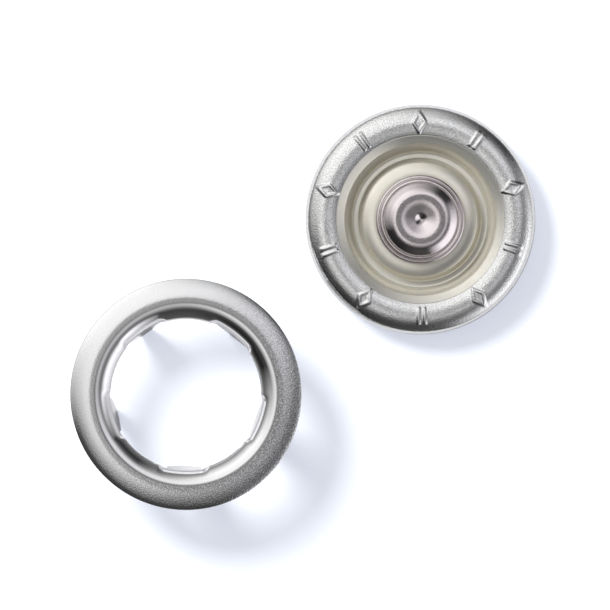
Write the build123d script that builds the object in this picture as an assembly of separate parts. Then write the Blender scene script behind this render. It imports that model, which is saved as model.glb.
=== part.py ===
from build123d import *
import math
import os

# Snap fastener, stud side: a loose prong ring and a loose stud part, side by side on their backs.
# Millimetres and degrees. X runs from the ring to the stud part, and Z is up, along both axes.

# Distance between the axes of the two pieces as they lie
piece_spacing = 12.66

# Stud: a headed rivet through the insert and the base
head_radius = 1.6
head_band = 0.36
head_rounding = 0.1
head_underside_rise = 0.12
head_underside_rounding = 0.12
neck_undercut = 0.32
neck_height = 0.2
neck_rounding = 0.1
upper_collar_margin = 0.17
upper_collar_height = 0.13
lower_collar_margin = 0.17
lower_collar_height = 0.12
collar_rounding = 0.1
shank_radius = 0.75
rivet_clearance = 0.02

# Top of its head, from the outside inwards
head_crown_width = 0.39
head_crown_slope_angle = 27.0
head_crown_rounding = 0.69
dish_margin = 0.47
dish_rounding = 1.26
dish_slope_angle = 19.0
dimple_radius = 0.22
dimple_slope_angle = 34.0
dimple_rounding = 0.4

# Its clinched back end
flare_width = 0.45
flare_thickness = 0.28
flare_rounding = 0.12
shank_wall = 0.33
recess_depth = 0.5
recess_mouth = 0.1
recess_rounding = 0.06

# Moulded insert, from the stud's lower collar outwards
hub_margin = 0.26
hub_crown_rounding = 1.4
hub_crown_width = 0.3
hub_crown_slope_angle = 21.0
hub_shoulder_rounding = 0.1
hub_side_width = 0.14
hub_foot_rounding = 0.12
valley_width = 0.34
valley_outer_rounding = 0.2
wall_width = 0.3
rim_width = 0.38
rim_slope_angle = 23.0
rim_rounding = 0.12
rim_edge = 0.03
rim_edge_rounding = 0.015
insert_floor = 0.3
insert_roof = 0.35
hub_wall = 0.3

# Base: one drawn sheet with the bead, the channel behind it, the web and the boss
base_sheet = 0.2
bead_height = 1.7
shoulder_inside_bend = 0.22
shoulder_slope_angle = 26.0
crown_outer_bend = 1.43
crown_inner_bend = 1.9
seat_slope_angle = 14.5
leg_inside_bend = 0.15
leg_lean_angle = 18.0
foot_inside_bend = 0.1
foot_lip = 0.12
web_inside_bend = 0.15
boss_height = 0.6
boss_slope_angle = 60.0

# Prong ring: one drawn and pierced strip of sheet
ring_sheet = 0.2
ring_height = 3.4
flange_width = 0.89
edge_slope_angle = 22.0
edge_bend = 1.65
flange_slope_angle = 13.5
crest_slope_angle = 4.5
crest_bend = 1.5
crest_width = 0.15
lip_width = 0.71
lip_slope_angle = 50.0

# Its prongs, flat tongues bent down from the lip, whose points enter the channel of the base
channel_clearance = 0.25
prong_count = 5
prong_turn_angle = 15.5
prong_width = 1.5
prong_tip_radius = 0.22
prong_taper_height = 1.5
prong_inside_bend = 0.42
prong_root_angle = 15.0
prong_lean_angle = 2.0
root_notch_radius = 1.6
root_notch_margin = 0.5


def sine(degrees):
    return math.sin(math.radians(degrees))


def cosine(degrees):
    return math.cos(math.radians(degrees))


def tangent(degrees):
    return math.tan(math.radians(degrees))


def strip_side(start, heading, moves, depth):
    """Edges along a bent strip at a depth below its visible side, as radius and height.

    Each move is a straight run, then a bend: its angle, left positive, and the bend radius on
    the visible side. The sheet lies to the left of the walk.
    """
    at = Vector(*start)
    edges = []
    for run, turn, radius in moves:
        along = Vector(cosine(heading), sine(heading))
        inward = Vector(-along.Y, along.X)
        if run > 0:
            edges.append(Line(at + inward * depth, at + along * run + inward * depth))
            at = at + along * run
        if turn != 0:
            side = 1 if turn > 0 else -1
            centre = at + inward * (radius * side)
            first = heading - 90 * side
            edges.append(CenterArc(centre, radius - depth * side, first, turn))
            last = first + turn
            at = centre + Vector(cosine(last), sine(last)) * radius
            heading = heading + turn
    return edges


def strip_face(start, heading, moves, sheet):
    """Section of a bent strip: its visible side, its hidden side and the two cut ends."""
    visible = strip_side(start, heading, moves, 0)
    hidden = strip_side(start, heading, moves, sheet)
    first_cut = Line(visible[0] @ 0, hidden[0] @ 0)
    last_cut = Line(visible[-1] @ 1, hidden[-1] @ 1)
    return make_face([*visible, *hidden, first_cut, last_cut])


def turned(section):
    """Revolve a section, drawn as radius and height, about Z."""
    return revolve(Plane.XZ * section, Axis.Z)


# Axes of the two loose pieces
ring_centre = Vector(-piece_spacing / 2, 0, 0)
stud_centre = Vector(piece_spacing / 2, 0, 0)

# Stud: places, from its head down and outwards
neck_radius = head_radius - neck_undercut
upper_collar_radius = head_radius + upper_collar_margin
lower_collar_radius = upper_collar_radius + lower_collar_margin
crown_corner_radius = head_radius - head_crown_width
head_crown_fall = head_crown_width * tangent(head_crown_slope_angle)
dish_radius = crown_corner_radius - dish_margin
dish_fall = (dish_radius - dimple_radius) * tangent(dish_slope_angle)
dimple_fall = dimple_radius * tangent(dimple_slope_angle)
flare_radius = shank_radius + flare_width
recess_radius = shank_radius - shank_wall
hole_radius = shank_radius + rivet_clearance

# Insert: places, from the stud outwards
hub_crown_radius = lower_collar_radius + hub_margin
hub_shoulder_radius = hub_crown_radius + hub_crown_width
hub_foot_radius = hub_shoulder_radius + hub_side_width
valley_outer_radius = hub_foot_radius + valley_width
rim_inner_radius = valley_outer_radius + wall_width
seat_radius = rim_inner_radius + rim_width
valley_level = base_sheet + insert_floor
hub_level = base_sheet + boss_height + insert_roof
hub_shoulder_level = hub_level - hub_crown_width * tangent(hub_crown_slope_angle)

# Base: places, from the seat of the insert's rim outwards
shoulder_bend = shoulder_inside_bend + base_sheet
crown_radius = seat_radius + crown_inner_bend * sine(seat_slope_angle)
crown_outer_width = crown_outer_bend * sine(shoulder_slope_angle)
shoulder_width = shoulder_bend * (1 - sine(shoulder_slope_angle))
base_outer_radius = crown_radius + crown_outer_width + shoulder_width
shoulder_level = bead_height - crown_outer_bend * (1 - cosine(shoulder_slope_angle))
foot_bend = foot_inside_bend + base_sheet
skirt_run = shoulder_level - shoulder_bend * cosine(shoulder_slope_angle) - foot_bend

# And from that seat inwards
leg_bend = leg_inside_bend + base_sheet
seat_level = bead_height - crown_inner_bend * (1 - cosine(seat_slope_angle))
leg_top_radius = seat_radius - leg_bend * (cosine(leg_lean_angle) - sine(seat_slope_angle))
leg_top_level = seat_level - leg_bend * (cosine(seat_slope_angle) - sine(leg_lean_angle))
leg_fall = leg_top_level - base_sheet - web_inside_bend * (1 - sine(leg_lean_angle))
leg_run = leg_fall / cosine(leg_lean_angle)
leg_width = leg_run * sine(leg_lean_angle) + web_inside_bend * cosine(leg_lean_angle)
web_outer_radius = leg_top_radius - leg_width
boss_foot_radius = hub_foot_radius - hub_wall
boss_bend = web_inside_bend + base_sheet
boss_bends = web_inside_bend + boss_bend
boss_run = (boss_height - boss_bends * (1 - cosine(boss_slope_angle))) / sine(boss_slope_angle)
boss_side_width = boss_bends * sine(boss_slope_angle) + boss_run * cosine(boss_slope_angle)
boss_top_radius = boss_foot_radius - boss_side_width
boss_top_level = base_sheet + boss_height
boss_back_level = boss_height

# Prong ring: widths and falls of its bends, then places from the channel of the base up and outwards
lip_bend = lip_width / sine(lip_slope_angle)
edge_width = edge_bend * (sine(edge_slope_angle) - sine(flange_slope_angle))
edge_fall = edge_bend * (cosine(flange_slope_angle) - cosine(edge_slope_angle))
crest_slope_width = crest_bend * sine(crest_slope_angle)
crest_slope_fall = crest_bend * (1 - cosine(crest_slope_angle))
flange_slopes = sine(flange_slope_angle) - sine(crest_slope_angle)
flange_bend = (flange_width - edge_width - crest_slope_width) / flange_slopes
flange_fall = flange_bend * (cosine(crest_slope_angle) - cosine(flange_slope_angle))
edge_level = ring_height - crest_slope_fall - flange_fall - edge_fall
prong_bend = prong_inside_bend + ring_sheet
prong_root_level = ring_height - lip_bend * (1 - cosine(prong_root_angle))
prong_bend_fall = prong_bend * (cosine(prong_root_angle) - sine(prong_lean_angle))
prong_bend_width = prong_bend * (cosine(prong_lean_angle) - sine(prong_root_angle))
prong_straight = (prong_root_level - prong_bend_fall) / cosine(prong_lean_angle)
prong_tip_inner_radius = web_outer_radius + channel_clearance
prong_root_radius = prong_tip_inner_radius + prong_straight * sine(prong_lean_angle) + prong_bend_width
crest_radius = prong_root_radius + lip_bend * sine(prong_root_angle)
ring_outer_radius = crest_radius + crest_width + flange_width


def ring_body():
    """Flange that droops to its cut edge, its crest and the lip that turns down into the hole."""
    moves = [
        (0, edge_slope_angle - flange_slope_angle, edge_bend),
        (0, flange_slope_angle - crest_slope_angle, flange_bend),
        (0, crest_slope_angle, crest_bend),
        (crest_width, lip_slope_angle, lip_bend),
    ]
    heading = 180 - edge_slope_angle
    section = strip_face((ring_outer_radius, edge_level), heading, moves, ring_sheet)
    return turned(section)


def root_notch():
    """Rounded notch in the lip, where one prong is bent down."""
    centre = crest_radius - root_notch_margin - root_notch_radius
    return Pos(centre, 0, 0) * Cylinder(
        root_notch_radius,
        ring_height,
        align=(Align.CENTER, Align.CENTER, Align.MIN),
    )


def prong():
    """Flat tongue, from inside the flange sheet round its bend and down to a rounded point."""
    turn = 90 - prong_lean_angle - prong_root_angle
    moves = [(0, turn, prong_bend), (prong_straight, 0, 0)]
    root = (prong_root_radius, prong_root_level)
    section = strip_face(root, 180 + prong_root_angle, moves, ring_sheet)
    blank = extrude(Plane.XZ * section, prong_width / 2, both=True)

    # The point as seen from outside, width against height
    half = prong_width / 2
    tip = prong_tip_radius
    outline = FilletPolyline(
        (-half, ring_height),
        (-half, prong_taper_height),
        (-tip, 0),
        (tip, 0),
        (half, prong_taper_height),
        (half, ring_height),
        radius=[0, half, tip, tip, half, 0],
        close=True,
    )
    point = extrude(Plane.YZ * make_face(outline), ring_outer_radius)
    return blank & point


def prong_ring():
    body = ring_body()
    angles = [prong_turn_angle + 360 / prong_count * i for i in range(prong_count)]
    for angle in angles:
        body -= Rot(0, 0, angle) * root_notch()
    for angle in angles:
        body += Rot(0, 0, angle) * prong()
    return Pos(ring_centre) * body


# From the seat of the insert's rim to the rivet hole, and before it the foot and the bead
lining_moves = [
    (0, 90 - leg_lean_angle - seat_slope_angle, leg_bend),
    (leg_run, leg_lean_angle - 90, web_inside_bend),
    (web_outer_radius - boss_foot_radius, -boss_slope_angle, web_inside_bend),
    (boss_run, boss_slope_angle, boss_bend),
    (boss_top_radius - hole_radius, 0, 0),
]
bead_moves = [
    (foot_lip, 90, foot_bend),
    (skirt_run, 90 - shoulder_slope_angle, shoulder_bend),
    (0, shoulder_slope_angle, crown_outer_bend),
    (0, seat_slope_angle, crown_inner_bend),
]


def channel_base():
    """Foot turned in, skirt, bead, channel wall, web and the boss round the rivet hole."""
    start = (base_outer_radius - foot_bend - foot_lip, 0)
    section = strip_face(start, 0, bead_moves + lining_moves, base_sheet)
    return Pos(stud_centre) * turned(section)


def dish_insert():
    """Moulded lining: rim, sloping wall, valley and raised hub, lying on the base all over."""
    under = strip_side((seat_radius, seat_level), 180 + seat_slope_angle, lining_moves, 0)
    rim_level = seat_level + rim_edge
    top = FilletPolyline(
        (hole_radius, boss_top_level),
        (hole_radius, hub_level),
        (hub_crown_radius, hub_level),
        (hub_shoulder_radius, hub_shoulder_level),
        (hub_foot_radius, valley_level),
        (valley_outer_radius, valley_level),
        (rim_inner_radius, rim_level - rim_width * tangent(rim_slope_angle)),
        (seat_radius, rim_level),
        (seat_radius, seat_level),
        radius=[
            0,
            hub_crown_rounding,
            hub_shoulder_rounding,
            hub_foot_rounding,
            valley_outer_rounding,
            rim_rounding,
            rim_edge_rounding,
        ],
    )
    return Pos(stud_centre) * turned(make_face([*under, *top.edges()]))


def stud():
    """Headed rivet: clinched flare, shank, two collars, neck and a domed head with a dimple."""
    flare_level = boss_back_level - flare_thickness
    collar_level = hub_level + lower_collar_height
    neck_level = collar_level + upper_collar_height
    underside_level = neck_level + neck_height
    band_level = underside_level + head_underside_rise
    head_level = band_level + head_band + head_crown_fall
    dimple_level = head_level - dish_fall
    half_section = FilletPolyline(
        (0, flare_level + recess_depth),
        (recess_radius, flare_level + recess_depth),
        (recess_radius + recess_mouth, flare_level),
        (flare_radius, flare_level),
        (flare_radius, boss_back_level),
        (shank_radius, boss_back_level),
        (shank_radius, hub_level),
        (lower_collar_radius, hub_level),
        (lower_collar_radius, collar_level),
        (upper_collar_radius, collar_level),
        (upper_collar_radius, neck_level),
        (neck_radius, neck_level),
        (neck_radius, underside_level),
        (head_radius, band_level),
        (head_radius, band_level + head_band),
        (crown_corner_radius, head_level),
        (dish_radius, head_level),
        (dimple_radius, dimple_level),
        (0, dimple_level - dimple_fall),
        radius=[
            recess_rounding,
            recess_rounding,
            flare_rounding,
            0,
            0,
            0,
            0,
            collar_rounding,
            0,
            collar_rounding,
            neck_rounding,
            neck_rounding,
            head_underside_rounding,
            head_rounding,
            head_crown_rounding,
            dish_rounding,
            dimple_rounding,
        ],
    )
    axis_line = Line(half_section @ 1, half_section @ 0)
    return Pos(stud_centre) * turned(make_face([*half_section.edges(), axis_line]))


pieces = {
    "prong_ring": prong_ring(),
    "channel_base": channel_base(),
    "dish_insert": dish_insert(),
    "rivet_stud": stud(),
}

os.makedirs("parts", exist_ok=True)
for name, piece in pieces.items():
    export_step(piece, f"parts/{name}.step")
    print(name, round(piece.volume, 3), "mm3")
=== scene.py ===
# %% [markdown]
# # A snap fastener, seen from straight above
#
# Two loose pieces lie side by side: an open ring with five prongs on its back, and the stud part,
# which is a beaded metal base, a cream moulded lining and a bright headed stud.
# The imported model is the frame: it gives the places and the outer sizes, and nothing in it is
# moved. Each of its four solids is then replaced by a finer surface of the same form, because thin
# polished metal shows every facet, and because real sheet has small round edges and bends.
# Two slopes differ a little from the solids, as the light in the picture asks: the dish in the
# head is 0.05 mm shallower, and the valley of the lining falls 0.06 mm outwards.

# %% The frame, and the sizes that it gives
import math

import bpy
import numpy as np
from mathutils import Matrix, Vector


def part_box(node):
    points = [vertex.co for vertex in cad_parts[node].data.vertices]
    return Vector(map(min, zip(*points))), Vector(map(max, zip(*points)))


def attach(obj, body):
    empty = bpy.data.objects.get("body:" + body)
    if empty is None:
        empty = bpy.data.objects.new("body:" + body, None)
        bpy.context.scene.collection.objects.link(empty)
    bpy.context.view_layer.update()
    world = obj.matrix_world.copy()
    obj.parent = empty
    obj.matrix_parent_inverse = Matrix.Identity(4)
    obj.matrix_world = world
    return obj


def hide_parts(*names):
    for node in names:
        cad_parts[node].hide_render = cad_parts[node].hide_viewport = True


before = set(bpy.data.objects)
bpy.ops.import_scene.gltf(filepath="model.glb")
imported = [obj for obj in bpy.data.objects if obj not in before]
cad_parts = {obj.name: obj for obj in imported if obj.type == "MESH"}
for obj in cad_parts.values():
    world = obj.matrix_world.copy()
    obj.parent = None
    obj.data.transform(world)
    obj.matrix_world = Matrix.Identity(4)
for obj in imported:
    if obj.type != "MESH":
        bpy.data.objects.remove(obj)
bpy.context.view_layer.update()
MM = 0.001

ring_low, ring_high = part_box("prong_ring")
base_low, base_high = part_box("channel_base")
ring_axis = (ring_low[0] + ring_high[0]) / 2 / MM
stud_axis = (base_low[0] + base_high[0]) / 2 / MM
ring_outer_radius = (ring_high[0] - ring_low[0]) / 2 / MM
base_outer_radius = (base_high[0] - base_low[0]) / 2 / MM
ring_height = ring_high[2] / MM
bead_height = base_high[2] / MM
head_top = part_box("rivet_stud")[1][2] / MM
print("nodes in the frame", len(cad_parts))
print("axes mm", round(ring_axis, 3), round(stud_axis, 3))
print("radii mm", round(ring_outer_radius, 3), round(base_outer_radius, 3))
print("heights mm", round(ring_height, 3), round(bead_height, 3), round(head_top, 3))

# %% [markdown]
# ## Bent sheet as a walk
#
# The ring and the base are each one sheet, drawn to shape between a punch and a die. Their section
# is a strip of even thickness. It could be a flat outline with a Solidify modifier, but the
# simplest way to describe it is a walk along its visible side: straight runs, and bends of a given
# radius and turn. The hidden side is the same walk moved sideways by the thickness of the sheet.
# Working on whole arrays lets every column of the surface have a walk of its own, which the prongs
# need. Lengths are in millimetres and angles in degrees, apart from headings, which are radians.

# %% Angles, headings and even steps
def sine(degrees):
    """Sine of an angle in degrees."""
    return math.sin(math.radians(degrees))


def cosine(degrees):
    """Cosine of an angle in degrees."""
    return math.cos(math.radians(degrees))


def tangent(degrees):
    """Tangent of an angle in degrees."""
    return math.tan(math.radians(degrees))


def forward(heading):
    """Unit vector along a heading: its cosine and its sine."""
    return np.stack([np.cos(heading), np.sin(heading)], axis=-1)


def leftward(heading):
    """Unit vector a quarter turn to the left of a heading: less its sine, and its cosine."""
    return np.stack([-np.sin(heading), np.cos(heading)], axis=-1)


def steps_between(low, high, count):
    """As many even steps as the count, from just past the low value to the high one."""
    return np.linspace(low, high, count + 1)[1:]


print("four steps from 0 to 1", steps_between(0, 1, 4))

# %% A walk of straight runs and bends
STRAIGHT = None


def walk(start, heading, moves):
    """Points and headings of walks, one for each start.

    Each move is a size, a turn and a number of steps. A straight move adds points at half of one
    minus the cosine of even steps, so they crowd at its ends. A bend of a radius adds the
    difference between the leftward vectors before and after each part of the turn, times the
    radius, with the sign of the turn.
    """
    at = np.atleast_2d(np.asarray(start, dtype=float))
    heading = np.radians(np.broadcast_to(heading, len(at)).astype(float))
    points = [at[:, None]]
    headings = [heading[:, None]]
    for size, turn, steps in moves:
        size = np.broadcast_to(size, len(at))[:, None, None]
        share = steps_between(0, 1, steps)
        if turn is STRAIGHT:
            share = (1 - np.cos(math.pi * share)) / 2
            heads = np.repeat(heading[:, None], steps, axis=1)
            track = at[:, None] + size * share[:, None] * forward(heading)[:, None]
        else:
            turn = np.radians(np.broadcast_to(turn, len(at)))[:, None]
            heads = heading[:, None] + share * turn
            reach = size * np.sign(turn)[:, :, None]
            track = at[:, None] + reach * (leftward(heading)[:, None] - leftward(heads))
        points.append(track)
        headings.append(heads)
        at = track[:, -1]
        heading = heads[:, -1]
    return np.concatenate(points, axis=1), np.concatenate(headings, axis=1)


trial_moves = [(2, STRAIGHT, 3), (1, 90, 6)]
trial_points, trial_headings = walk((0, 0), 0, trial_moves)
print("a run of 2 and a left bend of 1 end at", np.round(trial_points[0, -1], 3))

# %% [markdown]
# ## The thickness of the sheet
#
# Cut sheet isn't razor sharp: stamping and tumbling leave its two corners round. So each cut edge
# of a strip is a flat between two quarter circles. They stand a hair proud of the end of the walk,
# which is why the walks below begin and end that much early.

# %% From a walk to the closed outline of a strip
EDGE_ROUNDING = 0.025
EDGE_STEPS = 4


def rounded_cut(point, heading, sheet, sense):
    """Cut edge of the sheet with two round corners: quarter circles of EDGE_ROUNDING."""
    bend = steps_between(0, math.pi / 2, EDGE_STEPS)
    across = EDGE_ROUNDING * (1 - np.cos(bend))
    across = np.concatenate([across, sheet - across[::-1]])
    ahead = EDGE_ROUNDING * np.concatenate([np.sin(bend), np.sin(bend[::-1])])
    if sense < 0:
        across = across[::-1]
    along = forward(heading)[:, None] * (sense * ahead)[:, None]
    return point[:, None] + along + leftward(heading)[:, None] * across[:, None]


def strip_outline(points, headings, sheet):
    """Closed outline of a strip: visible side, far cut, hidden side back, near cut.

    A hidden point is a visible one plus the leftward vector times the thickness.
    """
    hidden = points + sheet * leftward(headings)
    far = rounded_cut(points[:, -1], headings[:, -1], sheet, 1)
    near = rounded_cut(points[:, 0], headings[:, 0], sheet, -1)
    return np.concatenate([points, far, hidden[:, ::-1], near], axis=1)


trial_outline = strip_outline(trial_points, trial_headings, 0.2)
print("outline of", trial_outline.shape[1], "points round a walk of", trial_points.shape[1])

# %% [markdown]
# ## Corners with roundings
#
# The prongs' points, the moulding and the rivet are easier to think of as a line of sharp corners,
# each with the rounding that its tool leaves. The line is turned into a walk: a run for each leg,
# and a bend at each corner that touches both of its legs.

# %% From corners with roundings to a line
fewest_arc_steps = 4
fewest_run_steps = 3
most_added_steps = 5


def cornered_line(rounded_corners, pitch=0.04):
    """Line through corners, where each but the first and last has a rounding.

    An arc takes its radius times the tangent of half the turn off either leg. It gets a step for
    each pitch of its length, and a straight run a step for every four.
    """
    corners = np.array([corner for corner, _ in rounded_corners], dtype=float)
    radii = [rounding for _, rounding in rounded_corners[1:-1]]
    legs = np.diff(corners, axis=0)
    lengths = np.hypot(legs[:, 0], legs[:, 1])
    courses = np.degrees(np.arctan2(legs[:, 1], legs[:, 0]))
    turns = (np.diff(courses) + 180) % 360 - 180
    taken = np.asarray(radii) * np.tan(np.radians(np.abs(turns)) / 2)
    taken = np.concatenate([[0], taken, [0]])
    moves = []
    for number, length in enumerate(lengths):
        run = length - taken[number] - taken[number + 1]
        run_steps = fewest_run_steps + min(most_added_steps, int(run / pitch / 4))
        moves.append((run, STRAIGHT, run_steps))
        if number < len(turns):
            arc = radii[number] * math.radians(abs(turns[number]))
            arc_steps = max(fewest_arc_steps, int(arc / pitch))
            moves.append((radii[number], turns[number], arc_steps))
    return walk(corners[0], courses[0], moves)[0]


trial_corners = [((0, 0), None), ((2, 0), 0.5), ((2, 2), None)]
print("two legs and a rounded corner take", cornered_line(trial_corners).shape[1], "points")

# %% [markdown]
# ## From outlines to meshes
#
# An outline turned about the axis gives a grid of points: one column for each angle and one row
# for each step of the outline. The Spin tool could do it too, but not with a different outline in
# each column. The sheet pieces and the lining are closed in both directions, like a tyre. The
# stud is solid, so its first and last rows shrink to one point each on the axis.

# %% Outlines turned about an axis
def even_angles(count):
    """Angles all round, in radians: equal parts of a whole turn."""
    return np.arange(count) * 2 * math.pi / count


def turned(outline, angles, axis):
    """Grid of points: the radius times the cosine and sine of the angle, and the height."""
    outline = np.broadcast_to(outline, (len(angles),) + outline.shape[1:])
    across = outline[..., 0] * np.cos(angles)[:, None] + axis
    along = outline[..., 0] * np.sin(angles)[:, None]
    return np.stack([across, along, outline[..., 1]], axis=-1)


print("grid of a trial", turned(trial_outline, even_angles(8), stud_axis).shape)

# %% Grids made into closed meshes
def signed_volume(points, triangles):
    """A sixth of the sum of the corners' triple products: positive if faces look outwards."""
    a, b, c = (points[triangles[:, corner]] for corner in range(3))
    return float(np.einsum("ij,ij->i", a, np.cross(b, c)).sum() / 6)


def mesh_piece(name, grid, solid=False):
    """Object from a grid that closes round its columns, and round its rows unless it is solid.

    Each face joins a point to the next one of its column and to the same two beside them. In a
    solid, the first and last rows are one point each, joined to their neighbours by triangles.
    """
    columns = len(grid)
    inner = grid[:, 1:-1] if solid else grid
    rows = inner.shape[1]
    points = inner.reshape(-1, 3)
    number = np.arange(columns * rows).reshape(columns, rows)
    beside = np.roll(number, -1, axis=0)
    if solid:
        quads = np.stack([number[:, :-1], beside[:, :-1], beside[:, 1:], number[:, 1:]], axis=-1)
        first = len(points)
        points = np.concatenate([points, grid[:1, 0], grid[:1, -1]])
        start = np.stack([np.full(columns, first), beside[:, 0], number[:, 0]], axis=-1)
        end = np.stack([np.full(columns, first + 1), number[:, -1], beside[:, -1]], axis=-1)
        caps = np.concatenate([start, end])
    else:
        after = np.roll(number, -1, axis=1)
        quads = np.stack([number, beside, np.roll(after, -1, axis=0), after], axis=-1)
        caps = np.empty((0, 3), dtype=int)
    quads = quads.reshape(-1, 4)
    triangles = np.concatenate([quads[:, :3], quads[:, [0, 2, 3]], caps])
    if signed_volume(points, triangles) < 0:
        quads = quads[:, ::-1]
        caps = caps[:, ::-1]
    mesh = bpy.data.meshes.new(name)
    mesh.from_pydata((points * MM).tolist(), [], quads.tolist() + caps.tolist())
    mesh.polygons.foreach_set("use_smooth", np.ones(len(mesh.polygons), dtype=bool))
    mesh.update()
    piece = bpy.data.objects.new(name, mesh)
    bpy.context.scene.collection.objects.link(piece)
    volume = abs(signed_volume(points, triangles))
    print(name, "triangles", len(triangles), "mm3", round(volume, 3))
    return piece


# %% [markdown]
# ## The prong ring
#
# The ring is stamped from one sheet. From its cut edge the flange rises, ever less steeply, to a
# crest, and the lip falls into the hole. Five tongues are bent on from the lip and stand
# down, so from above only their bends and a sliver of their leaning faces show.
# Each column of the grid is one walk. Its last bend grows steeper where there is a prong, and only
# a column inside a prong goes on down, as far as the outline of the point lets it. One grid keeps
# the metal unbroken from flange to point, which pieces joined later wouldn't.

# %% Sizes of the ring's section
ring_sheet = 0.2
flange_width = 0.89
edge_slope = 22.0
edge_bend = 1.65
flange_slope = 13.5
crest_slope = 4.5
crest_bend = 1.5
crest_width = 0.15
lip_width = 0.71
lip_slope = 50.0

crest_radius = ring_outer_radius - flange_width - crest_width
lip_end_radius = crest_radius - lip_width
lip_bend = lip_width / sine(lip_slope)
edge_width = edge_bend * (sine(edge_slope) - sine(flange_slope))
crest_slope_width = crest_bend * sine(crest_slope)
flange_bend = flange_width - edge_width - crest_slope_width
flange_bend = flange_bend / (sine(flange_slope) - sine(crest_slope))
print("crest radius mm", round(crest_radius, 3), "flange bend", round(flange_bend, 3))

# %% Sizes of the prongs
prong_count = 5
prong_turn = 15.5
prong_half_width = 0.75
prong_root_slope = 15.0
prong_slope = 88.0
prong_bend = 0.62
prong_flatness = 0.45
prong_tip_half_width = 0.22
prong_tip_rounding = 0.9 * prong_tip_half_width
prong_taper_height = 1.5
prong_taper_rounding = 0.75
root_fillet = 0.3

root_radius = crest_radius - lip_bend * sine(prong_root_slope)
root_level = ring_height - lip_bend * (1 - cosine(prong_root_slope))
prong_top_radius = root_radius - prong_bend * (sine(prong_slope) - sine(prong_root_slope))
print("prongs from radius mm", round(prong_top_radius, 3), "and height", round(root_level, 3))

# %% Columns: even steps of angle, and closer ones round each prong's two sides
side_zone = 1.5
step_off = 0.02
face_columns = 21
side_columns = 8
fillet_columns = 11
gap_columns = 16
side_angle = math.degrees(math.atan2(prong_half_width, prong_top_radius))
fillet_angle = math.degrees(root_fillet / prong_top_radius)
fillet_share = np.linspace(0, 1, fillet_columns) ** 1.5
half_prong = np.concatenate(
    [
        steps_between(0, side_angle - side_zone, face_columns),
        steps_between(side_angle - side_zone, side_angle, side_columns),
        side_angle + step_off + fillet_angle * fillet_share,
        steps_between(side_angle + fillet_angle, 180 / prong_count, gap_columns),
    ]
)
from_prong = np.concatenate([-half_prong[-2::-1], [0], half_prong])
ring_turns = prong_turn + 360 / prong_count * np.arange(prong_count)
ring_angles = np.radians((ring_turns[:, None] + from_prong).ravel())
off_centre = np.tile(np.abs(from_prong), prong_count)
print("ring columns", len(ring_angles), "prong side at degrees", round(side_angle, 2))

# %% Each column's last bend: the lip's between prongs, and steeper towards a prong
prong_reach = 13.0
lip_reach = 20.0


def eased(value, low, high):
    """Goes from 0 at low to 1 at high, flat at both ends: three squares less two cubes."""
    share = np.clip((value - low) / (high - low), 0, 1)
    return share * share * (3 - 2 * share)


on_prong = 1 - eased(off_centre, prong_reach, lip_reach)
flat_growth = prong_flatness * (1 / np.cos(np.radians(off_centre)) - 1)
prong_radius = prong_top_radius * (1 + flat_growth)
end_radius = lip_end_radius + on_prong * (prong_radius - lip_end_radius)
end_slope = lip_slope + on_prong * (prong_slope - lip_slope)
last_bend = root_radius - end_radius
last_bend = last_bend / (np.sin(np.radians(end_slope)) - sine(prong_root_slope))
bend_fall = last_bend * (cosine(prong_root_slope) - np.cos(np.radians(end_slope)))
print("last bend mm", round(last_bend.min(), 3), "to", round(last_bend.max(), 3))

# %% Each column's way down: to the outline of the point, or into the notch beside the root
shortest_run = 0.002
point_corners = [
    ((0, 0), None),
    ((prong_tip_half_width, 0), prong_tip_rounding),
    ((prong_half_width, prong_taper_height), prong_taper_rounding),
    ((prong_half_width, 2 * prong_taper_height), None),
]
point_line = cornered_line(point_corners)[0]
across_prong = prong_top_radius * np.tan(np.radians(off_centre))
point_level = np.interp(across_prong, point_line[:, 0], point_line[:, 1])
full_run = (root_level - bend_fall - point_level) / sine(prong_slope)
full_run -= ring_sheet / tangent(prong_slope)
beyond = np.clip((off_centre - side_angle - step_off) / fillet_angle, 0, 1)
fillet_run = root_fillet * (1 - np.sqrt(1 - (1 - beyond) ** 2))
down_run = np.where(off_centre <= side_angle + step_off / 2, full_run, fillet_run)
down_run = np.maximum(down_run - EDGE_ROUNDING, shortest_run)
print("longest way down mm", round(down_run.max(), 3))

# %% The whole walk, from the cut edge of the flange to the point of the prong
start_slope = edge_slope - math.degrees(EDGE_ROUNDING / edge_bend)
start_radius = ring_outer_radius - edge_bend * (sine(edge_slope) - sine(start_slope))
start_fall = crest_bend * (1 - cosine(crest_slope))
start_fall += flange_bend * (cosine(crest_slope) - cosine(flange_slope))
start_fall += edge_bend * (cosine(flange_slope) - cosine(start_slope))
ring_moves = [
    (edge_bend, start_slope - flange_slope, 6),
    (flange_bend, flange_slope - crest_slope, 12),
    (crest_bend, crest_slope, 4),
    (crest_width, STRAIGHT, 3),
    (lip_bend, prong_root_slope, 8),
    (last_bend, end_slope - prong_root_slope, 20),
    (down_run, STRAIGHT, 12),
]
ring_start = np.tile([start_radius, ring_height - start_fall], (len(ring_angles), 1))
ring_points, ring_headings = walk(ring_start, 180 - start_slope, ring_moves)
ring_grid = turned(strip_outline(ring_points, ring_headings, ring_sheet), ring_angles, ring_axis)
ring = mesh_piece("prong_ring_sheet", ring_grid)

# %% [markdown]
# ## The base with its bead
#
# The base is drawn from sheet of the same thickness. Going from the foot it climbs the skirt,
# rolls over the bead, drops into the middle, crosses the web under the lining and climbs the boss
# to the rivet hole. It is the same in every column, so one walk turned round makes it.

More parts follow.
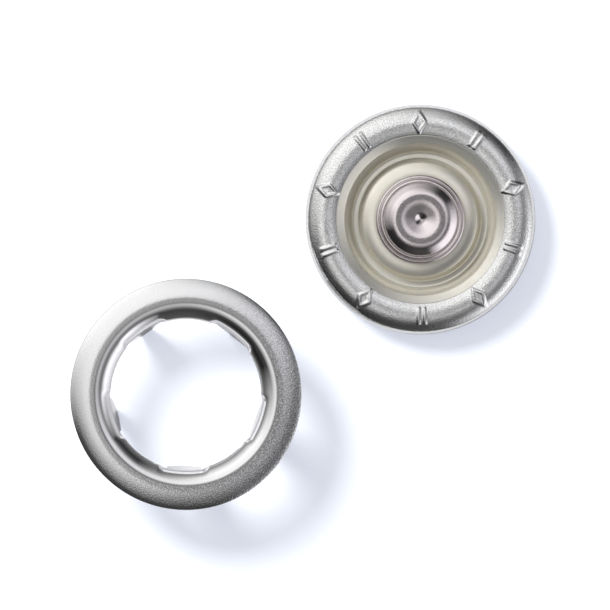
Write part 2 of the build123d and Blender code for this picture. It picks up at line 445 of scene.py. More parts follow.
# %% Sizes of the base
base_sheet = 0.2
foot_lip = 0.12
foot_bend = 0.1 + base_sheet
shoulder_bend = 0.22 + base_sheet
shoulder_slope = 26.0
crown_outer_bend = 1.43
crown_inner_bend = 1.9
seat_slope = 14.5
leg_bend = 0.15 + base_sheet
leg_lean = 18.0
web_inside_bend = 0.15
boss_bend = web_inside_bend + base_sheet
boss_height = 0.6
boss_slope = 60.0
boss_foot_radius = 2.34
hole_radius = 0.77

crown_radius = base_outer_radius - shoulder_bend * (1 - sine(shoulder_slope))
crown_radius -= crown_outer_bend * sine(shoulder_slope)
shoulder_level = bead_height - crown_outer_bend * (1 - cosine(shoulder_slope))
skirt_run = shoulder_level - shoulder_bend * cosine(shoulder_slope) - foot_bend
seat_radius = crown_radius - crown_inner_bend * sine(seat_slope)
seat_level = bead_height - crown_inner_bend * (1 - cosine(seat_slope))
print("crown radius mm", round(crown_radius, 3), "skirt", round(skirt_run, 3))
print("seat of the lining mm", round(seat_radius, 3), "up", round(seat_level, 3))

# %% Its leg, web and boss, which the lining hides
leg_top_radius = seat_radius - leg_bend * (cosine(leg_lean) - sine(seat_slope))
leg_top_level = seat_level - leg_bend * (cosine(seat_slope) - sine(leg_lean))
leg_fall = leg_top_level - base_sheet - web_inside_bend * (1 - sine(leg_lean))
leg_run = leg_fall / cosine(leg_lean)
web_outer_radius = leg_top_radius - leg_run * sine(leg_lean) - web_inside_bend * cosine(leg_lean)
boss_bends = web_inside_bend + boss_bend
boss_run = (boss_height - boss_bends * (1 - cosine(boss_slope))) / sine(boss_slope)
boss_top_radius = boss_foot_radius - boss_bends * sine(boss_slope) - boss_run * cosine(boss_slope)
print("web mm", round(web_outer_radius, 3), "boss", round(boss_top_radius, 3))

# %% The walk of the base, from its foot to the rivet hole
lining_moves = [
    (leg_bend, 90 - leg_lean - seat_slope, 5),
    (leg_run, STRAIGHT, 3),
    (web_inside_bend, leg_lean - 90, 4),
    (web_outer_radius - boss_foot_radius, STRAIGHT, 2),
    (web_inside_bend, -boss_slope, 3),
    (boss_run, STRAIGHT, 2),
    (boss_bend, boss_slope, 4),
]
base_moves = [
    (foot_lip - EDGE_ROUNDING, STRAIGHT, 2),
    (foot_bend, 90, 6),
    (skirt_run, STRAIGHT, 3),
    (shoulder_bend, 90 - shoulder_slope, 14),
    (crown_outer_bend, shoulder_slope, 16),
    (crown_inner_bend, seat_slope, 22),
    *lining_moves,
    (boss_top_radius - hole_radius - EDGE_ROUNDING, STRAIGHT, 2),
]
base_start = (base_outer_radius - foot_bend - foot_lip + EDGE_ROUNDING, 0)
base_points, base_headings = walk(base_start, 0, base_moves)
print("base walk of", base_points.shape[1], "points, to a height of", round(bead_height, 3))

# %% [markdown]
# ### Ornaments on the bead
#
# The bead of the real one carries stamped marks all round. Here they are ten plain ornaments,
# pairs of bars and lozenges in turn, raised as fine ribs. A bump in the material could draw them,
# but ribs catch the light at their sides as stamped ones do. They are a small height added to the
# visible side, most along the middle of a rib and nothing past its edges, and worked out for the
# whole grid.

# %% Heights of the ornaments over the grid of the base
base_columns = 500
mark_count = 10
mark_radius = 4.2
mark_reach = 0.42
mark_half_width = 0.26
bar_full_reach = 0.34
rib_width = 0.1
rib_height = 0.04
bead_margin = 0.02
past_skirt = math.pi / 2 + 0.3


def rib(distance):
    """Height of a rib at a distance from its middle line: the square of a cosine."""
    share = np.clip(np.abs(distance) / rib_width, 0, 1)
    return rib_height * np.cos(share * math.pi / 2) ** 2


base_angles = even_angles(base_columns)
mark_angle = np.mod(base_angles * mark_count / (2 * math.pi), 1) - 0.5
sideways = np.abs(mark_angle[:, None] * 2 * math.pi * mark_radius / mark_count)
inward = np.abs(mark_radius - base_points[..., 0])
bars = rib(sideways - mark_half_width / 2) * (1 - eased(inward, bar_full_reach, mark_reach))
lozenge_out = sideways / mark_half_width + inward / mark_reach - 1
steepness = math.hypot(1 / mark_half_width, 1 / mark_reach)
lozenges = rib(lozenge_out / steepness)
number = np.floor(base_angles * mark_count / (2 * math.pi)).astype(int)[:, None]
on_bead = (base_points[..., 0] > seat_radius + bead_margin) & (base_headings > past_skirt)
height = np.where(number % 2 == 0, bars, lozenges) * on_bead
print("ornaments", mark_count, "as high as mm", round(height.max(), 3))

# %% The base, with its visible side lifted by the ornaments
base_outline = strip_outline(base_points, base_headings, base_sheet)
base_outline = np.repeat(base_outline, base_columns, axis=0)
lifted = base_points - height[..., None] * leftward(base_headings)
base_outline[:, : base_points.shape[1]] = lifted
base = mesh_piece("channel_base_sheet", turned(base_outline, base_angles, stud_axis))

# %% [markdown]
# ## The moulded lining
#
# The lining is a cream moulding that fills the dish inside the bead: a narrow rim, a sloping wall,
# a narrow valley and a raised hub under the stud. It lies on the base all over, so its underside is
# the same walk as the visible side of the base, a hair above it, and its top is a line of corners,
# each rounded as the mould would round it.

# %% Sizes of the lining
rim_inner_radius = 3.28
rim_slope = 23.0
rim_edge = 0.03
rim_rounding = 0.12
rim_edge_rounding = 0.015
valley_outer_radius = 2.98
valley_outer_rounding = 0.14
valley_level = 0.5
valley_fall = 0.06
hub_foot_radius = 2.64
hub_foot_rounding = 0.12
hub_shoulder_radius = 2.5
hub_shoulder_rounding = 0.1
hub_crown_radius = 2.2
hub_crown_slope = 21.0
hub_crown_rounding = 1.4
hub_level = 1.15
nearly_sharp = 0.02
hair = 0.01

rim_drop = (seat_radius - rim_inner_radius) * tangent(rim_slope)
rim_inner_level = seat_level + rim_edge - rim_drop
hub_fall = (hub_shoulder_radius - hub_crown_radius) * tangent(hub_crown_slope)
hub_shoulder_level = hub_level - hub_fall
print("rim mm", round(rim_inner_level, 3), "hub shoulder", round(hub_shoulder_level, 3))

# %% Its underside as the walk of the base, and its top as corners
under_start = (seat_radius, seat_level)
under_moves = [*lining_moves, (boss_top_radius - hole_radius, STRAIGHT, 2)]
under, under_headings = walk(under_start, 180 + seat_slope, under_moves)
under = under - hair * leftward(under_headings)
top_corners = [
    ((hole_radius, base_sheet + boss_height + hair), None),
    ((hole_radius, hub_level), nearly_sharp),
    ((hub_crown_radius, hub_level), hub_crown_rounding),
    ((hub_shoulder_radius, hub_shoulder_level), hub_shoulder_rounding),
    ((hub_foot_radius, valley_level + valley_fall), hub_foot_rounding),
    ((valley_outer_radius, valley_level), valley_outer_rounding),
    ((rim_inner_radius, rim_inner_level), rim_rounding),
    ((seat_radius, seat_level + rim_edge), rim_edge_rounding),
    ((seat_radius, seat_level + hair), None),
]
insert_columns = 400
insert_outline = np.concatenate([under[:, :-1], cornered_line(top_corners)], axis=1)
insert_grid = turned(insert_outline, even_angles(insert_columns), stud_axis)
insert = mesh_piece("dish_insert_moulding", insert_grid)

# %% [markdown]
# ## The stud
#
# The stud is a headed rivet: the heading tool leaves a domed rim, a shallow dish and a dimple on
# top, two collars press on the lining, and the clinching tool spreads the back end.
# It is one line of corners from the axis at the back to the axis on top, turned once round.
# Corners that nothing shows are nearly sharp.

# %% Sizes of the stud, from its clinched end up
recess_radius = 0.42
recess_mouth_radius = 0.52
recess_depth = 0.5
recess_rounding = 0.06
flare_radius = 1.2
flare_thickness = 0.28
flare_rounding = 0.12
shank_radius = 0.75
lower_collar_radius = 1.94
lower_collar_height = 0.12
upper_collar_radius = 1.77
upper_collar_height = 0.13
collar_rounding = 0.1
collar_edge_rounding = 0.015
neck_radius = 1.28
neck_height = 0.2
neck_rounding = 0.1

flare_bottom = boss_height - flare_thickness
recess_top = flare_bottom + recess_depth
lower_collar_top = hub_level + lower_collar_height
upper_collar_top = lower_collar_top + upper_collar_height
neck_top = upper_collar_top + neck_height
print("flare mm", round(flare_bottom, 3), "collars", round(upper_collar_top, 3))

# %% Sizes of its head
head_radius = 1.6
head_underside_rise = 0.12
head_underside_rounding = 0.12
head_rounding = 0.1
head_crown_radius = 1.21
head_crown_slope = 27.0
head_crown_rounding = 0.69
dish_radius = 0.74
dish_slope = 14.0
dish_rounding = 1.26
dimple_radius = 0.22
dimple_slope = 34.0
dimple_rounding = 0.4

band_bottom = neck_top + head_underside_rise
band_top = head_top - (head_radius - head_crown_radius) * tangent(head_crown_slope)
dimple_top = head_top - (dish_radius - dimple_radius) * tangent(dish_slope)
dimple_end = dimple_top - dimple_radius * tangent(dimple_slope)
print("band mm", round(band_bottom, 3), "to", round(band_top, 3), "dimple", round(dimple_end, 3))

# %% Its line of corners, turned
stud_corners = [
    ((0, recess_top), None),
    ((recess_radius, recess_top), recess_rounding),
    ((recess_mouth_radius, flare_bottom), recess_rounding),
    ((flare_radius, flare_bottom), flare_rounding),
    ((flare_radius, boss_height), nearly_sharp),
    ((shank_radius, boss_height), nearly_sharp),
    ((shank_radius, hub_level), nearly_sharp),
    ((lower_collar_radius, hub_level), collar_edge_rounding),
    ((lower_collar_radius, lower_collar_top), collar_rounding),
    ((upper_collar_radius, lower_collar_top), nearly_sharp),
    ((upper_collar_radius, upper_collar_top), collar_rounding),
    ((neck_radius, upper_collar_top), neck_rounding),
    ((neck_radius, neck_top), neck_rounding),
    ((head_radius, band_bottom), head_underside_rounding),
    ((head_radius, band_top), head_rounding),
    ((head_crown_radius, head_top), head_crown_rounding),
    ((dish_radius, head_top), dish_rounding),
    ((dimple_radius, dimple_top), dimple_rounding),
    ((0, dimple_end), None),
]
stud_columns = 360
stud_pitch = 0.03
stud_outline = cornered_line(stud_corners, stud_pitch)
stud_grid = turned(stud_outline, even_angles(stud_columns), stud_axis)
stud = mesh_piece("rivet_stud_turned", stud_grid, solid=True)

# %% [markdown]
# ## In place of the solids
#
# Each surface stands for the solid of its node, which is hidden. It rides on the frame's one body,
# so that it moves as the node would.

# %% Nodes hidden, and surfaces on the body
for piece, node, finish in [
    (ring, "prong_ring", "ring_metal"),
    (base, "channel_base", "base_metal"),
    (insert, "dish_insert", "insert_plastic"),
    (stud, "rivet_stud", "stud_metal"),
]:
    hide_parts(node)
    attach(piece, "root")
    print(piece.name, "stands for", node)

# %% [markdown]
# ## Finishes
#
# Nickel plate is a pale, faintly warm metal, and it is as smooth as what lies under it. So each
# metal here is a mirror colour with a little roughness and a fine bump. Pictures wrapped round the
# pieces could do it too, but noise needs no seams. It is read at Object coordinates in metres, and
# scaled from a size in millimetres. The real grain is as fine as a pixel of the picture, 0.043 mm,
# or finer, and such a grain vanishes in a render, so it is drawn as coarse as it needs to show.

# %% Helpers for materials
# The colour sockets of a Mix node, by number, because those for plain values have the same names
FIRST_COLOUR = 6
SECOND_COLOUR = 7
MIXED_COLOUR = 2


def linear(code):
    """Linear colour of an sRGB hex code: a power of 2.4, and a straight line near black."""
    parts = np.array([int(code[place : place + 2], 16) for place in (1, 3, 5)]) / 255
    low = parts / 12.92
    high = ((parts + 0.055) / 1.055) ** 2.4
    return (*np.where(parts <= 0.04045, low, high).tolist(), 1.0)


def add(tree, kind, inputs=None, **settings):
    """Adds a node, sets it, and gives each input, by name or number, a value or a link."""
    made = tree.nodes.new(kind)
    for key, value in settings.items():
        setattr(made, key, value)
    for key, value in (inputs or {}).items():
        if isinstance(value, bpy.types.NodeSocket):
            tree.links.new(value, made.inputs[key])
        else:
            made.inputs[key].default_value = value
    return made


print("mid grey in linear light", round(linear("#808080")[0], 3))

# %% Where on the piece, and how large a spot
def new_material(name):
    """Material of a name, and its node tree, emptied."""
    material = bpy.data.materials.new(name)
    material.use_nodes = True
    material.node_tree.nodes.clear()
    return material, material.node_tree


def object_place(tree, axis_mm):
    """Object coordinates counted from an upright axis: the place less the axis."""
    coordinates = add(tree, "ShaderNodeTexCoord").outputs["Object"]
    from_axis = {"Vector": coordinates, "Location": (-axis_mm * MM, 0, 0)}
    return add(tree, "ShaderNodeMapping", from_axis).outputs["Vector"]


def radius_of(tree, place):
    """Distance from the upright axis, in metres: the length of the place with no height."""
    flat = add(tree, "ShaderNodeVectorMath", {0: place, 1: (1, 1, 0)}, operation="MULTIPLY")
    length = add(tree, "ShaderNodeVectorMath", {0: flat.outputs[0]}, operation="LENGTH")
    return length.outputs["Value"]


def spot_scale(size_mm):
    """Scale of a noise whose spots are about a size in millimetres: one over it, in metres."""
    return 1 / (size_mm * MM)


def wear(piece, material, tree, shader):
    """Ends a material's tree with its shader, and puts the material on a piece."""
    add(tree, "ShaderNodeOutputMaterial", {"Surface": shader.outputs[0]})
    piece.data.materials.append(material)
    print(piece.name, "wears", material.name, "of", len(tree.nodes), "nodes")


print("spots of a tenth of a millimetre have a scale of", round(spot_scale(0.1)))

# %% Kinds of noise, and the specks that the ring and the base share
speck_mm = 0.045
plain_noise = {"Detail": 0.0}
soft_noise = {"Detail": 2.0, "Roughness": 0.6}

# A noise goes from 0 to 1, and spends most of its time between these
usual_noise = {"From Min": 0.3, "From Max": 0.7}


def plate_specks(tree, place):
    """Specks of the plate, from 0 to 1: the middle 0.3 of a noise, stretched over the range."""
    noise = {"Vector": place, "Scale": spot_scale(speck_mm), **plain_noise}
    noise = add(tree, "ShaderNodeTexNoise", noise).outputs[0]
    stretched = {"Value": noise, "From Min": 0.35, "From Max": 0.65}
    return add(tree, "ShaderNodeMapRange", stretched).outputs[0]


print("specks to a millimetre", round(1 / speck_mm, 1))

# %% [markdown]
# ### Satin nickel of the ring
#
# The flange has the fine grain that tumbling leaves on pressed sheet, and the lip is as smooth as
# the punch makes it. One side of the flange is painted darker, as painted shade, with dark and
# bright specks, and it gets a deeper grain. One material covers the whole sheet, because both are
# functions of the place on the ring: a soft step at the radius of the lip, and a slow ramp towards
# the side with the painted shade.

# %% Where the ring is tumbled, and on which side its shade is painted
satin_nickel, tree = new_material("satin nickel plate, burnished lip")
place = object_place(tree, ring_axis)
lip_edge_mm = 3.97
lip_edge_blur_mm = 0.06
shade_bearing = -75.0
shade_from_mm = -2.0
shade_full_mm = 4.0

lip_edge = {
    "Value": radius_of(tree, place),
    "From Min": (lip_edge_mm - lip_edge_blur_mm) * MM,
    "From Max": (lip_edge_mm + lip_edge_blur_mm) * MM,
}
tumbled = add(tree, "ShaderNodeMapRange", lip_edge).outputs[0]
# The ramp towards one side darkens the plate there as painted shade, and deepens the grain.
shade_direction = (cosine(shade_bearing), sine(shade_bearing), 0)
along = add(tree, "ShaderNodeVectorMath", {0: place, 1: shade_direction}, operation="DOT_PRODUCT")
shade_ramp = {
    "Value": along.outputs["Value"],
    "From Min": shade_from_mm * MM,
    "From Max": shade_full_mm * MM,
}
painted_shade_side = add(tree, "ShaderNodeMapRange", shade_ramp).outputs[0]
painted_shade_side = add(tree, "ShaderNodeMath", {0: painted_shade_side, 1: tumbled}, operation="MULTIPLY").outputs[0]
print("worn from", shade_from_mm, "to", shade_full_mm, "mm along", np.round(shade_direction, 2))

# %% Its colour: even plate on one side, and darker specked plate as painted shade on the other
specks = plate_specks(tree, place)
unshaded = {"Factor": specks, FIRST_COLOUR: linear("#F1F1F1"), SECOND_COLOUR: linear("#F6F6F6")}
unshaded = add(tree, "ShaderNodeMix", unshaded, data_type="RGBA").outputs[MIXED_COLOUR]
# These darker colours are painted shade on one side of the flange.
painted_shade_plate = {"Factor": specks, FIRST_COLOUR: linear("#B0B0B1"), SECOND_COLOUR: linear("#E6E6E6")}
painted_shade_plate = add(tree, "ShaderNodeMix", painted_shade_plate, data_type="RGBA").outputs[MIXED_COLOUR]
tone = {"Factor": painted_shade_side, FIRST_COLOUR: unshaded, SECOND_COLOUR: painted_shade_plate}
tone = add(tree, "ShaderNodeMix", tone, data_type="RGBA").outputs[MIXED_COLOUR]
print("clean plate mirrors", round(linear("#F1F1F1")[0], 2), "of the light")
print("dark specks mirror", round(linear("#B0B0B1")[0], 2))

# %% Its grain and gloss
ring_grain_mm = 0.06
ring_grain_depth_mm = 0.0055
burnished_grain = 0.08
far_side_grain = 0.3
burnished_roughness = 0.07
tumbled_roughness = 0.14

grain = {"Vector": place, "Scale": spot_scale(ring_grain_mm), **plain_noise}
grain = add(tree, "ShaderNodeTexNoise", grain).outputs[0]
side_grain = {"Value": painted_shade_side, "To Min": far_side_grain, "To Max": 1.0}
side_grain = add(tree, "ShaderNodeMapRange", side_grain).outputs[0]
tumbled_grain = {"Value": tumbled, "To Min": burnished_grain, "To Max": 1.0}
tumbled_grain = add(tree, "ShaderNodeMapRange", tumbled_grain).outputs[0]
depth = add(tree, "ShaderNodeMath", {0: side_grain, 1: tumbled_grain}, operation="MULTIPLY")
bump = {"Strength": depth.outputs[0], "Distance": ring_grain_depth_mm * MM, "Height": grain}
bump = add(tree, "ShaderNodeBump", bump).outputs["Normal"]
gloss = {"Value": tumbled, "To Min": burnished_roughness, "To Max": tumbled_roughness}
gloss = add(tree, "ShaderNodeMapRange", gloss).outputs[0]
plate = {"Base Color": tone, "Metallic": 1.0, "Roughness": gloss, "Normal": bump}
wear(ring, satin_nickel, tree, add(tree, "ShaderNodeBsdfPrincipled", plate))

# %% [markdown]
# ### Bright nickel of the base
#
# The base looks as it left the drawing tool. Its plate is bright all over and keeps the texture
# of the sheet: faint specks, a shallow grain, and patches of slightly different gloss. So it is
# made as the ring's is, without the step and the ramp.

# %% Bright nickel of the base
base_grain_mm = 0.055
base_grain_depth_mm = 0.0045
gloss_patch_mm = 0.7

bright_nickel, tree = new_material("bright nickel plate on drawn sheet")
place = object_place(tree, stud_axis)
specks = plate_specks(tree, place)
tone = {"Factor": specks, FIRST_COLOUR: linear("#E3E3E2"), SECOND_COLOUR: linear("#F9F9F8")}
tone = add(tree, "ShaderNodeMix", tone, data_type="RGBA").outputs[MIXED_COLOUR]
grain = {"Vector": place, "Scale": spot_scale(base_grain_mm), **plain_noise}
grain = add(tree, "ShaderNodeTexNoise", grain).outputs[0]
bump = {"Strength": 1.0, "Distance": base_grain_depth_mm * MM, "Height": grain}
bump = add(tree, "ShaderNodeBump", bump).outputs["Normal"]
patches = {"Vector": place, "Scale": spot_scale(gloss_patch_mm), **soft_noise}
patches = add(tree, "ShaderNodeTexNoise", patches).outputs[0]
gloss = {"Value": patches, **usual_noise, "To Min": 0.13, "To Max": 0.2}
gloss = add(tree, "ShaderNodeMapRange", gloss).outputs[0]
plate = {"Base Color": tone, "Metallic": 1.0, "Roughness": gloss, "Normal": bump}
wear(base, bright_nickel, tree, add(tree, "ShaderNodeBsdfPrincipled", plate))

# %% [markdown]
# ### Cream lining
#
# The lining is taken as a moulding of milky polyamide, glossy from the mould. The real one has a
# pearly lustre: it mirrors its surroundings more than plain plastic does. So about three
# quarters of its light comes back as from a cream metal, and the rest goes a little way in.

# %% Cream polyamide of the lining
cloud_mm = 0.8
skin_mm = 0.15
skin_depth_mm = 0.003
light_reach_mm = 0.35
pearly_share = 0.72

cream_plastic, tree = new_material("cream moulded polyamide")
place = object_place(tree, stud_axis)
cloud = {"Vector": place, "Scale": spot_scale(cloud_mm), **soft_noise}
cloud = add(tree, "ShaderNodeTexNoise", cloud).outputs[0]
tone = {"Factor": cloud, FIRST_COLOUR: linear("#E2DFD4"), SECOND_COLOUR: linear("#DAD6C9")}
tone = add(tree, "ShaderNodeMix", tone, data_type="RGBA").outputs[MIXED_COLOUR]
skin = {"Vector": place, "Scale": spot_scale(skin_mm), **soft_noise}
skin = add(tree, "ShaderNodeTexNoise", skin).outputs[0]
bump = {"Strength": 0.4, "Distance": skin_depth_mm * MM, "Height": skin}
bump = add(tree, "ShaderNodeBump", bump).outputs["Normal"]
gloss = {"Value": skin, **usual_noise, "To Min": 0.16, "To Max": 0.26}
gloss = add(tree, "ShaderNodeMapRange", gloss).outputs[0]
plastic = {
    "Base Color": tone,
    "Roughness": gloss,
    "Metallic": pearly_share,
    "IOR": 1.53,
    "Subsurface Weight": 0.3,
    "Subsurface Radius": (1.0, 0.8, 0.5),
    "Subsurface Scale": light_reach_mm * MM,
    "Normal": bump,
}
wear(insert, cream_plastic, tree, add(tree, "ShaderNodeBsdfPrincipled", plastic))

# %% [markdown]
# ### Polished nickel of the stud
#
# The heading tool burnished the stud, so it has the sharpest reflections and the darkest darks.
# Its plate is a little pinker than the ring's, in faint clouds, with a very shallow grain.

# %% Polished nickel of the stud
stud_grain_mm = 0.06
stud_grain_depth_mm = 0.002
tint_cloud_mm = 0.5

polished_nickel, tree = new_material("polished nickel plate on headed rivet")
place = object_place(tree, stud_axis)
cloud = {"Vector": place, "Scale": spot_scale(tint_cloud_mm), **soft_noise}
cloud = add(tree, "ShaderNodeTexNoise", cloud).outputs[0]
tone = {"Factor": cloud, FIRST_COLOUR: linear("#F0E7E8"), SECOND_COLOUR: linear("#E6DDDE")}
tone = add(tree, "ShaderNodeMix", tone, data_type="RGBA").outputs[MIXED_COLOUR]
grain = {"Vector": place, "Scale": spot_scale(stud_grain_mm), **plain_noise}
grain = add(tree, "ShaderNodeTexNoise", grain).outputs[0]
bump = {"Strength": 1.0, "Distance": stud_grain_depth_mm * MM, "Height": grain}
bump = add(tree, "ShaderNodeBump", bump).outputs["Normal"]
gloss = {"Value": grain, **usual_noise, "To Min": 0.06, "To Max": 0.12}
gloss = add(tree, "ShaderNodeMapRange", gloss).outputs[0]
plate = {"Base Color": tone, "Metallic": 1.0, "Roughness": gloss, "Normal": bump}
wear(stud, polished_nickel, tree, add(tree, "ShaderNodeBsdfPrincipled", plate))

# %% [markdown]
# ## Camera
#
# The camera looks straight down. The line from the ring to the stud part climbs at 36.7 degrees in
# the picture, so the camera is turned by as much the other way. The lens is long, so that the
# small heights hardly change the scale, and its angle follows from the scale of the picture.

# %% Camera, from the scale of the picture
picture_pixels = 610
pixels_per_mm = 23.08
scale_height = 2.0
camera_height = 250.0
picture_turn = 36.72
centre_right = 0.063
centre_up = 0.069
right = np.array([cosine(picture_turn), -sine(picture_turn)])
up = np.array([sine(picture_turn), cosine(picture_turn)])
middle = right * centre_right + up * centre_up

camera_data = bpy.data.cameras.new("camera")
camera_data.sensor_fit = "HORIZONTAL"
half_picture = picture_pixels / 2 / pixels_per_mm
camera_data.angle = 2 * math.atan(half_picture / (camera_height - scale_height))
camera_data.clip_start = 0.01
camera_data.clip_end = 10.0
camera = bpy.data.objects.new("camera", camera_data)
camera.location = (middle[0] * MM, middle[1] * MM, camera_height * MM)
camera.rotation_euler = (0, 0, -math.radians(picture_turn))
bpy.context.scene.collection.objects.link(camera)
bpy.context.scene.camera = camera
print("camera angle", round(math.degrees(camera_data.angle), 3), "degrees")

# %% [markdown]
# ## Floor
#
# The floor is white paper, and the shadows on it are soft and bluish. They could be tinted by a
# blue lamp, but that would tint the object too. So a faint blue glow, which only the camera sees,
# is added to the light of the paper, and a much fainter one shows in the metal.

# %% White paper
floor_half = 0.6
seen_glow = 0.55
mirrored_glow = 0.05
glow_blue = (0.8, 0.86, 1.0, 1.0)
floor_mesh = bpy.data.meshes.new("floor")
floor_corners = [(-floor_half, -floor_half, 0), (floor_half, -floor_half, 0)]
floor_corners += [(floor_half, floor_half, 0), (-floor_half, floor_half, 0)]
floor_mesh.from_pydata(floor_corners, [], [(0, 1, 2, 3)])
floor = bpy.data.objects.new("floor", floor_mesh)
bpy.context.scene.collection.objects.link(floor)

white_paper, tree = new_material("white paper floor")
diffuse = add(tree, "ShaderNodeBsdfDiffuse", {"Color": linear("#CBCBCD")})
path = add(tree, "ShaderNodeLightPath").outputs
bounced = {0: path["Is Glossy Ray"], 1: path["Is Transmission Ray"]}
bounced = add(tree, "ShaderNodeMath", bounced, operation="MAXIMUM").outputs[0]
mirrored = {0: bounced, 1: mirrored_glow}
mirrored = add(tree, "ShaderNodeMath", mirrored, operation="MULTIPLY").outputs[0]
seen = {0: path["Is Camera Ray"], 1: seen_glow}
seen = add(tree, "ShaderNodeMath", seen, operation="MULTIPLY").outputs[0]
strength = add(tree, "ShaderNodeMath", {0: seen, 1: mirrored}).outputs[0]
glow = add(tree, "ShaderNodeEmission", {"Color": glow_blue, "Strength": strength})
paper = {0: diffuse.outputs[0], 1: glow.outputs[0]}
wear(floor, white_paper, tree, add(tree, "ShaderNodeAddShader", paper))

# %% [markdown]
# ## Key lamp
#
# One round lamp stands to the upper left of the picture and casts the shadows. Its width makes
# their edges soft. The metal doesn't mirror it, because the studio below holds its screen.

# %% Lamp, placed by its bearing in the picture
lamp_bearing = 135.0
lamp_elevation = 44.0
lamp_distance = 150.0
lamp_width = 62.0
lamp_power = 0.3


def picture_direction(bearing, elevation=0.0):
    """Frame direction of a bearing in the picture, in degrees to the left of its right side.

    The cosine and sine of the bearing are its parts to the right and up. The cosine of the
    elevation shortens them, and its sine is the height.
    """
    flat = right * cosine(bearing) + up * sine(bearing)
    return np.array([*(flat * cosine(elevation)), sine(elevation)])


lamp_data = bpy.data.lights.new("key lamp", "AREA")
lamp_data.shape = "DISK"
lamp_data.size = lamp_width * MM
lamp_data.energy = lamp_power
lamp = bpy.data.objects.new("key lamp", lamp_data)
toward_lamp = picture_direction(lamp_bearing, lamp_elevation)
lamp.location = tuple(toward_lamp * lamp_distance * MM)
lamp_turn = math.atan2(toward_lamp[1], toward_lamp[0]) + math.pi / 2
lamp.rotation_euler = (math.radians(90 - lamp_elevation), 0, lamp_turn)
lamp.visible_glossy = False
bpy.context.scene.collection.objects.link(lamp)
print("lamp at mm", np.round(toward_lamp * lamp_distance, 1))

# %% [markdown]
# ## The studio
#
# The light and dark rings on every bend of the metal are reflections of the studio: a wide white
# screen on the lamp's side, a low white screen on the other, and dark gaps on either hand. Real
# panels would do, but a world that holds the light by direction is quicker to adjust. Each of
# its five screens is a ramp of light from the zenith down, and has its own stretch of the
# compass, with a soft border to the next.

# %% The world, and the angle of a direction from the zenith
world = bpy.data.worlds.new("studio")
bpy.context.scene.world = world
world.use_nodes = True
tree = world.node_tree
tree.nodes.clear()
looking = add(tree, "ShaderNodeTexCoord").outputs["Generated"]
upward = add(tree, "ShaderNodeSeparateXYZ", {0: looking}).outputs["Z"]
tilt = add(tree, "ShaderNodeMath", {0: upward}, operation="ARCCOSINE").outputs[0]
from_zenith = {"Value": tilt, "From Max": math.pi}
from_zenith = add(tree, "ShaderNodeMapRange", from_zenith).outputs[0]


def screen(stops, tint=(1.0, 1.0, 1.0)):
    """Colour of one screen: straight between stops, which are angles in degrees and lights."""
    made = add(tree, "ShaderNodeValToRGB", {"Fac": from_zenith})
    band = made.color_ramp
    band.elements[0].position = stops[0][0] / 180
    band.elements[1].position = stops[-1][0] / 180
    for angle, _ in stops[1:-1]:
        band.elements.new(angle / 180)
    for element, (_, light) in zip(band.elements, stops):
        element.color = (*(light * part for part in tint), 1)
    return made.outputs["Color"]


print("angle from the zenith goes over", round(math.degrees(math.pi)), "degrees")

# %% The five screens, by their place in the picture
cool = (0.96, 0.96, 1.0)
upper_left = screen(
    [(0, 0.12), (4, 0.4), (10, 1.0), (24, 1.04), (40, 1.15), (58, 0.76), (78, 0.28), (92, 0.55)]
)
upper_right = screen(
    [(0, 0.12), (4, 0.22), (10, 0.78), (20, 0.82), (30, 0.42), (40, 0.11), (58, 0.025), (92, 0.2)],
    cool,
)
lower_left = screen(
    [
        *[(0, 0.12), (4, 0.4), (9, 0.78), (15, 0.72), (21, 0.48), (27, 0.26), (33, 0.06)],
        *[(45, 0.04), (60, 0.01), (76, 0.05), (92, 0.25)],
    ]
)
bottom = screen(
    [(0, 0.12), (4, 0.35), (9, 0.5), (15, 0.46), (20, 0.33), (30, 0.11), (40, 0.05), (92, 0.1)]
)
lower_right = screen(
    [
        *[(0, 0.12), (4, 0.32), (9, 0.52), (14, 0.56), (18, 0.38), (23, 0.25), (28, 0.18)],
        *[(34, 0.2), (40, 0.5), (48, 1.0), (56, 1.25), (92, 0.65)],
    ],
    cool,
)
print("screens", sum(node.type == "VALTORGB" for node in tree.nodes))

# %% [markdown]
# ### The compass
#
# The arctangent of two level parts of a direction gives its bearing. It jumps from a half turn to
# minus a half turn on one side, and that seam is put inside the lower left screen, where it
# can't show.

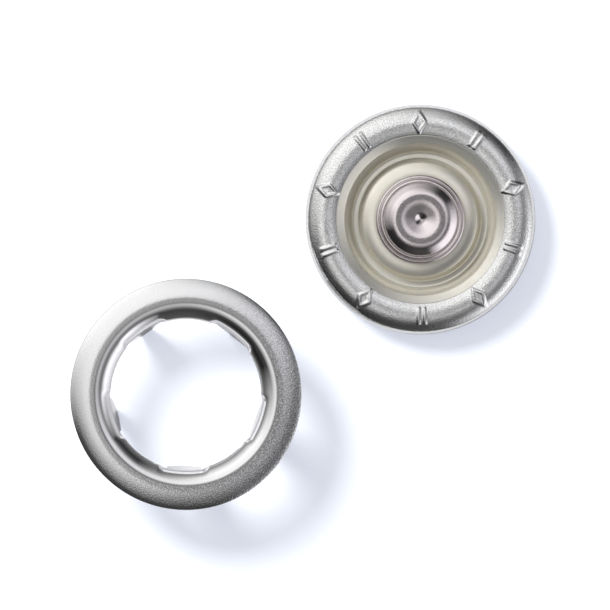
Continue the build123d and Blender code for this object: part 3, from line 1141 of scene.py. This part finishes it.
# %% Bearing in the picture, as a share of the whole round from the seam
seam_bearing = 225.0
level = add(tree, "ShaderNodeVectorMath", {0: looking, 1: (1, 1, 0)}, operation="MULTIPLY")
level_parts = []
for bearing in (seam_bearing - 90, seam_bearing - 180):
    part = {0: level.outputs[0], 1: tuple(picture_direction(bearing))}
    part = add(tree, "ShaderNodeVectorMath", part, operation="DOT_PRODUCT")
    level_parts.append(part.outputs["Value"])
compass = {0: level_parts[0], 1: level_parts[1]}
compass = add(tree, "ShaderNodeMath", compass, operation="ARCTAN2").outputs[0]
compass = {"Value": compass, "From Min": -math.pi, "From Max": math.pi}
compass = add(tree, "ShaderNodeMapRange", compass).outputs[0]
print("seam at", seam_bearing, "degrees in the picture")

# %% Each screen takes over from the one before it between two bearings
white = (1.0, 1.0, 1.0, 1.0)
borders = [
    (235, 265, bottom),
    (285, 310, lower_right),
    (350, 395, upper_right),
    (415, 475, upper_left),
    (510, 560, lower_left),
]
studio = lower_left
for begins, ends, following in borders:
    border = {
        "Value": compass,
        "From Min": (begins - seam_bearing) / 360,
        "From Max": (ends - seam_bearing) / 360,
    }
    share = add(tree, "ShaderNodeMapRange", border).outputs[0]
    studio = {"Factor": share, FIRST_COLOUR: studio, SECOND_COLOUR: following}
    studio = add(tree, "ShaderNodeMix", studio, data_type="RGBA").outputs[MIXED_COLOUR]
seen = add(tree, "ShaderNodeLightPath").outputs["Is Camera Ray"]
studio = {"Factor": seen, FIRST_COLOUR: studio, SECOND_COLOUR: white}
studio = add(tree, "ShaderNodeMix", studio, data_type="RGBA").outputs[MIXED_COLOUR]
background = add(tree, "ShaderNodeBackground", {"Color": studio, "Strength": 1.0})
add(tree, "ShaderNodeOutputWorld", {"Surface": background.outputs[0]})
print("studio of", len(tree.nodes), "nodes")

# %% [markdown]
# ## Last setting
#
# The standard view transform shows colours as they are written.

# %% Plain view
bpy.context.scene.view_settings.view_transform = "Standard"
